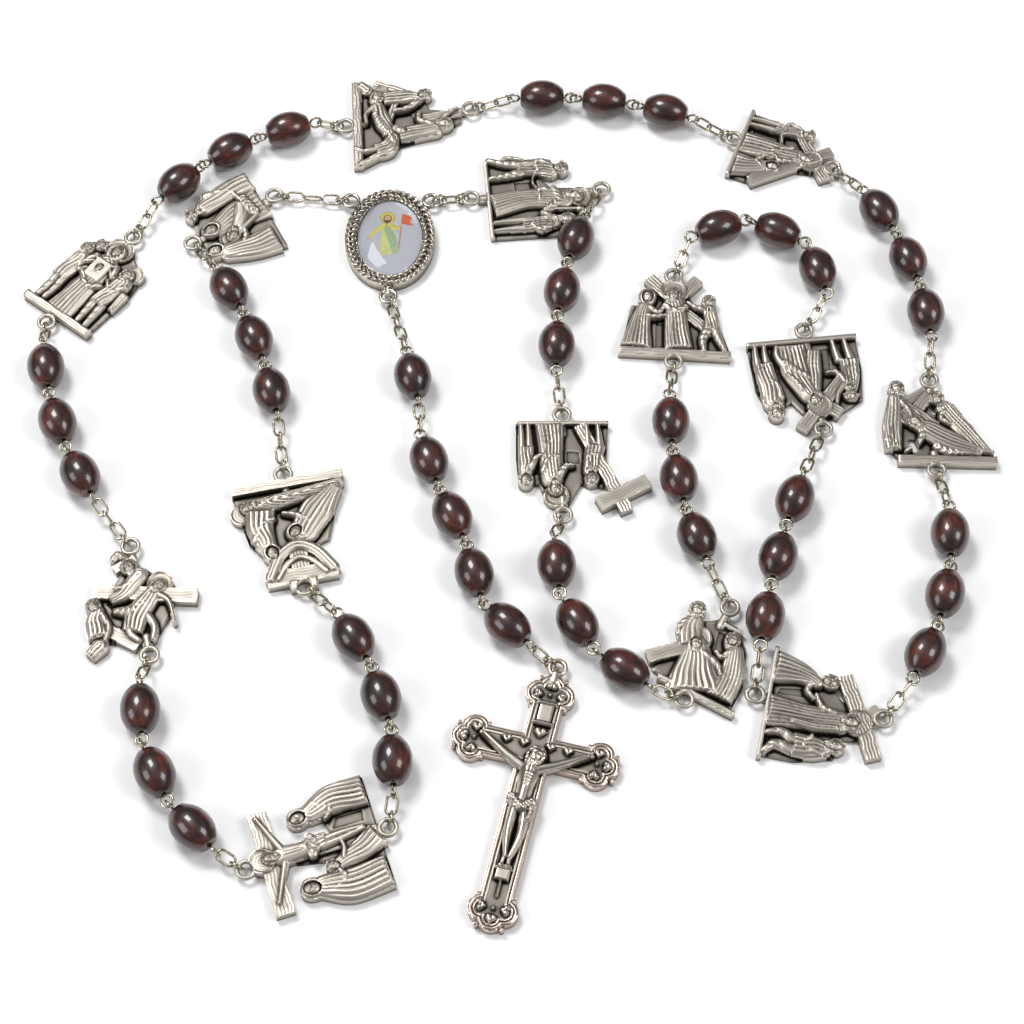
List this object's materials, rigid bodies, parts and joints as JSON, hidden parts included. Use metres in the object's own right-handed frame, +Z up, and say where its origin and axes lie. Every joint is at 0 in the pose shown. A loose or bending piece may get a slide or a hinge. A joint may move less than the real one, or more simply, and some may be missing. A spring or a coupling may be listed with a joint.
{
  "type": "stations of the cross rosary",
  "caption": "Chaplet loop of relief medals joined by strands of oval wooden beads, with a centre medal, a beaded drop and a crucifix, laid out flat.",
  "frame": {"origin": "centre of the centre medal's flat back, which lies on the table", "axes": "+Z up from the table, +Y towards the centre medal's top, +X to its right as its picture is seen"},
  "size_m": [0.1911, 0.1879, 0.007],
  "materials": {
    "medal_silver": "antique silver, dark in the recesses",
    "chain_silver": "bright silver wire",
    "bead": "dark red-brown lacquer, glossy",
    "crucifix_border": "warm silver, satin",
    "crucifix_relief": "antique silver, dark in the recesses",
    "picture": "printed picture, pale",
    "dome": "clear, glossy"
  },
  "bodies": {
    "centre": {"centre_frame": "medal_silver", "centre_picture": "picture", "centre_dome": "dome", "jump_rings": "chain_silver"},
    "chain_left": {"chain_left": "chain_silver"},
    "chain_right": {"chain_right": "chain_silver"},
    "strands_1_4": {"beads_01": "bead", "wires_01": "chain_silver", "beads_04": "bead", "wires_04": "chain_silver"},
    "strands_2_3": {"beads_02": "bead", "wires_02": "chain_silver", "beads_03": "bead", "wires_03": "chain_silver"},
    "strands_5_6": {"beads_05": "bead", "wires_05": "chain_silver", "beads_06": "bead", "wires_06": "chain_silver"},
    "strands_8_9": {"beads_08": "bead", "wires_08": "chain_silver", "beads_09": "bead", "wires_09": "chain_silver"},
    "strands_11_12": {"beads_11": "bead", "wires_11": "chain_silver", "beads_12": "bead", "wires_12": "chain_silver"},
    "strand_7": {"beads_07": "bead", "wires_07": "chain_silver"},
    "strand_10": {"beads_10": "bead", "wires_10": "chain_silver"},
    "strand_13": {"beads_13": "bead", "wires_13": "chain_silver"},
    "medal_1": {"station_01": "medal_silver"},
    "medal_2": {"station_02": "medal_silver"},
    "medal_3": {"station_03": "medal_silver"},
    "medal_4": {"station_04": "medal_silver"},
    "medal_5": {"station_05": "medal_silver"},
    "medal_6": {"station_06": "medal_silver"},
    "medal_7": {"station_07": "medal_silver"},
    "medal_8": {"station_08": "medal_silver"},
    "medal_9": {"station_09": "medal_silver"},
    "medal_10": {"station_10": "medal_silver"},
    "medal_11": {"station_11": "medal_silver"},
    "medal_12": {"station_12": "medal_silver"},
    "medal_13": {"station_13": "medal_silver"},
    "medal_14": {"station_14": "medal_silver"},
    "drop_wire_1": {"drop_chain": "chain_silver", "drop_pin_1": "chain_silver"},
    "drop_bead_1": {"drop_bead_1": "bead"},
    "drop_wire_2": {"drop_pin_2": "chain_silver"},
    "drop_bead_2": {"drop_bead_2": "bead"},
    "drop_wire_3": {"drop_pin_3": "chain_silver"},
    "drop_bead_3": {"drop_bead_3": "bead"},
    "drop_wire_4": {"drop_pin_4": "chain_silver"},
    "drop_bead_4": {"drop_bead_4": "bead"},
    "drop_wire_5": {"drop_pin_5": "chain_silver"},
    "drop_bead_5": {"drop_bead_5": "bead"},
    "crucifix_links": {"crucifix_chain": "chain_silver"},
    "crucifix": {"crucifix_cross": "crucifix_border", "crucifix_figure": "crucifix_relief"}
  },
  "joints": [
    {"name": "strands_1_4_lift", "type": "hinge", "parent": "centre", "child": "strands_1_4", "pos_m": [-0.0386, -0.00292, 0.00176], "axis": [-0.8274, -0.5617, 0.0027], "range_deg": [0, 55]},
    {"name": "strands_2_3_lift", "type": "hinge", "parent": "strands_1_4", "child": "strands_2_3", "pos_m": [-0.01225, -0.08191, 0.00176], "axis": [-0.8969, -0.4422, 0.0029], "range_deg": [0, 55]},
    {"name": "strands_5_6_lift", "type": "hinge", "parent": "centre", "child": "strands_5_6", "pos_m": [-0.05101, 0.00242, 0.00176], "axis": [0.9799, 0.1996, 0], "range_deg": [0, 30]},
    {"name": "strands_11_12_lift", "type": "hinge", "parent": "centre", "child": "strands_11_12", "pos_m": [0.05634, -0.03208, 0.00176], "axis": [-0.5428, -0.8398, 0.0023], "range_deg": [0, 30]},
    {"name": "strands_8_9_lift", "type": "hinge", "parent": "centre", "child": "strands_8_9", "pos_m": [0.10666, -0.05708, 0.00176], "axis": [-0.921, 0.3896, -0.0018], "range_deg": [0, 50]},
    {"name": "strand_7_lift", "type": "hinge", "parent": "centre", "child": "strand_7", "pos_m": [0.09251, 0.01631, 0.00176], "axis": [0.2861, -0.9582, 0], "range_deg": [0, 30]},
    {"name": "strand_10_lift", "type": "hinge", "parent": "centre", "child": "strand_10", "pos_m": [0.08405, -0.02056, 0.00176], "axis": [0.8861, -0.4635, 0], "range_deg": [0, 45]},
    {"name": "strand_13_lift", "type": "hinge", "parent": "centre", "child": "strand_13", "pos_m": [0.03424, -0.03991, 0.00176], "axis": [0.1573, 0.9876, 0], "range_deg": [0, 30]},
    {"name": "medal_1_turn", "type": "hinge", "parent": "centre", "child": "medal_1", "pos_m": [-0.032, 0.005, 0.0016], "axis": [-0.7986, -0.6018, 0], "range_deg": [-9, 9]},
    {"name": "medal_2_turn", "type": "hinge", "parent": "strands_1_4", "child": "medal_2", "pos_m": [-0.0165, -0.068, 0.0016], "axis": [0.2079, -0.9781, 0], "range_deg": [-22, 11]},
    {"name": "medal_3_turn", "type": "hinge", "parent": "strands_2_3", "child": "medal_3", "pos_m": [-0.0095, -0.13251, 0.0016], "axis": [-0.9511, -0.309, 0], "range_deg": [-11, 9]},
    {"name": "medal_4_turn", "type": "hinge", "parent": "strands_1_4", "child": "medal_4", "pos_m": [-0.0445, -0.083, 0.0016], "axis": [-0.225, 0.9744, 0], "range_deg": [-26, 12]},
    {"name": "medal_5_turn", "type": "hinge", "parent": "centre", "child": "medal_5", "pos_m": [-0.06, -0.01, 0.0016], "axis": [0.6018, 0.7986, 0], "range_deg": [-18, 11]},
    {"name": "medal_6_turn", "type": "hinge", "parent": "strands_5_6", "child": "medal_6", "pos_m": [0.003, 0.0315, 0.0016], "axis": [0.9848, 0.1736, 0], "range_deg": [-40, 20]},
    {"name": "medal_7_turn", "type": "hinge", "parent": "centre", "child": "medal_7", "pos_m": [0.081, 0.022, 0.0016], "axis": [0.9336, -0.3584, 0], "range_deg": [-22, 11]},
    {"name": "medal_8_turn", "type": "hinge", "parent": "centre", "child": "medal_8", "pos_m": [0.10651, -0.0445, 0.0016], "axis": [0.0175, 0.9998, 0], "range_deg": [-16, 34]},
    {"name": "medal_9_turn", "type": "hinge", "parent": "strands_8_9", "child": "medal_9", "pos_m": [0.0806, -0.10491, 0.0016], "axis": [0.9781, -0.2079, 0], "range_deg": [-9, 9]},
    {"name": "medal_10_turn", "type": "hinge", "parent": "centre", "child": "medal_10", "pos_m": [0.084, -0.034, 0.0016], "axis": [0.1045, -0.9945, 0], "range_deg": [-11, 18]},
    {"name": "medal_11_turn", "type": "hinge", "parent": "centre", "child": "medal_11", "pos_m": [0.057, -0.0195, 0.0016], "axis": [0.0349, 0.9994, 0], "range_deg": [-13, 30]},
    {"name": "medal_12_turn", "type": "hinge", "parent": "strands_11_12", "child": "medal_12", "pos_m": [0.0607, -0.09401, 0.0016], "axis": [0.4384, 0.8988, 0], "range_deg": [-9, 9]},
    {"name": "medal_13_turn", "type": "hinge", "parent": "centre", "child": "medal_13", "pos_m": [0.0345, -0.0535, 0.0016], "axis": [0, -1, 0], "range_deg": [-15, 32]},
    {"name": "medal_14_turn", "type": "hinge", "parent": "centre", "child": "medal_14", "pos_m": [0.0298, 0.0115, 0.0016], "axis": [0.9962, 0.0872, 0], "range_deg": [-11, 9]},
    {"name": "chain_left_twist", "type": "hinge", "parent": "centre", "child": "chain_left", "pos_m": [-0.01611, 0.01033, 0.0016], "axis": [-0.9962, 0.0869, 0], "range_deg": [-35, 35]},
    {"name": "chain_right_twist", "type": "hinge", "parent": "centre", "child": "chain_right", "pos_m": [0.01228, 0.00998, 0.0016], "axis": [0.9965, 0.0837, 0], "range_deg": [-35, 35]},
    {"name": "drop_wire_1_lift", "type": "hinge", "parent": "centre", "child": "drop_wire_1", "pos_m": [0.00065, -0.01648, 0.00169], "axis": [-0.9613, -0.2756, 0], "range_deg": [0, 15]},
    {"name": "drop_wire_2_lift", "type": "hinge", "parent": "drop_wire_1", "child": "drop_wire_2", "pos_m": [0.00669, -0.04094, 0.0035], "axis": [-0.9976, -0.0698, 0], "range_deg": [0, 15]},
    {"name": "drop_wire_3_lift", "type": "hinge", "parent": "drop_wire_2", "child": "drop_wire_3", "pos_m": [0.0106, -0.0594, 0.0035], "axis": [-0.9135, -0.4067, 0], "range_deg": [0, 15]},
    {"name": "drop_wire_4_lift", "type": "hinge", "parent": "drop_wire_3", "child": "drop_wire_4", "pos_m": [0.01603, -0.07133, 0.0035], "axis": [-0.9703, -0.2419, 0], "range_deg": [0, 15]},
    {"name": "drop_wire_5_lift", "type": "hinge", "parent": "drop_wire_4", "child": "drop_wire_5", "pos_m": [0.01894, -0.08424, 0.0035], "axis": [-0.7071, -0.7071, 0], "range_deg": [0, 15]},
    {"name": "crucifix_links_lift", "type": "hinge", "parent": "drop_wire_5", "child": "crucifix_links", "pos_m": [0.02861, -0.09381, 0.0033], "axis": [-0.5878, -0.809, 0], "range_deg": [0, 12]},
    {"name": "crucifix_swing", "type": "hinge", "parent": "crucifix_links", "child": "crucifix", "pos_m": [0.03174, -0.09608, 0.0016], "axis": [-0.5678, -0.7815, 0.2588], "range_deg": [-40, 18]},
    {"name": "drop_bead_1_spin", "type": "hinge", "parent": "drop_wire_1", "child": "drop_bead_1", "pos_m": [0.00541, -0.03457, 0.0035], "axis": [0.2079, -0.9781, 0], "continuous": true},
    {"name": "drop_bead_2_spin", "type": "hinge", "parent": "drop_wire_2", "child": "drop_bead_2", "pos_m": [0.00893, -0.05368, 0.0035], "axis": [0.2924, -0.9563, 0], "continuous": true},
    {"name": "drop_bead_3_spin", "type": "hinge", "parent": "drop_wire_3", "child": "drop_bead_3", "pos_m": [0.01351, -0.06593, 0.0035], "axis": [0.4067, -0.9135, 0], "continuous": true},
    {"name": "drop_bead_4_spin", "type": "hinge", "parent": "drop_wire_4", "child": "drop_bead_4", "pos_m": [0.01776, -0.07827, 0.0035], "axis": [0.2419, -0.9703, 0], "continuous": true},
    {"name": "drop_bead_5_spin", "type": "hinge", "parent": "drop_wire_5", "child": "drop_bead_5", "pos_m": [0.024, -0.08929, 0.0035], "axis": [0.7071, -0.7071, 0], "continuous": true}
  ]
}
